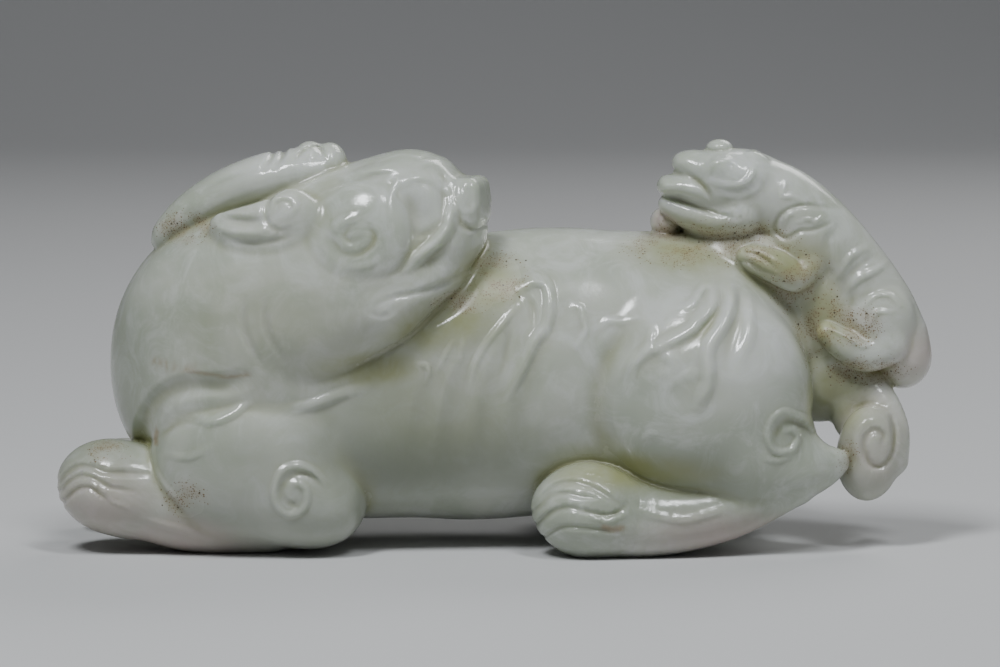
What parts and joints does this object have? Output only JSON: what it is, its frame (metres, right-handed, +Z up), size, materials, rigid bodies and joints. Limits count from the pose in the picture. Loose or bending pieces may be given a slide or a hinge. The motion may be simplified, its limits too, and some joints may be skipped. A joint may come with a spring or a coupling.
{
  "type": "jade mythical beast",
  "caption": "Carved jade figure of a recumbent one-horned mythical beast with its head turned to the side and a cub climbing over its rump.",
  "frame": {"origin": "middle of the footprint's bounding box, on the plane that the four paws rest on", "axes": "+X from the chest to the rump and the cub, -Y the side that the head is turned to, +Z up"},
  "size_m": [0.1298, 0.0486, 0.0605],
  "materials": {
    "jade": "polished"
  },
  "bodies": {
    "root": {"jade_beast": "jade"}
  },
  "joints": []
}
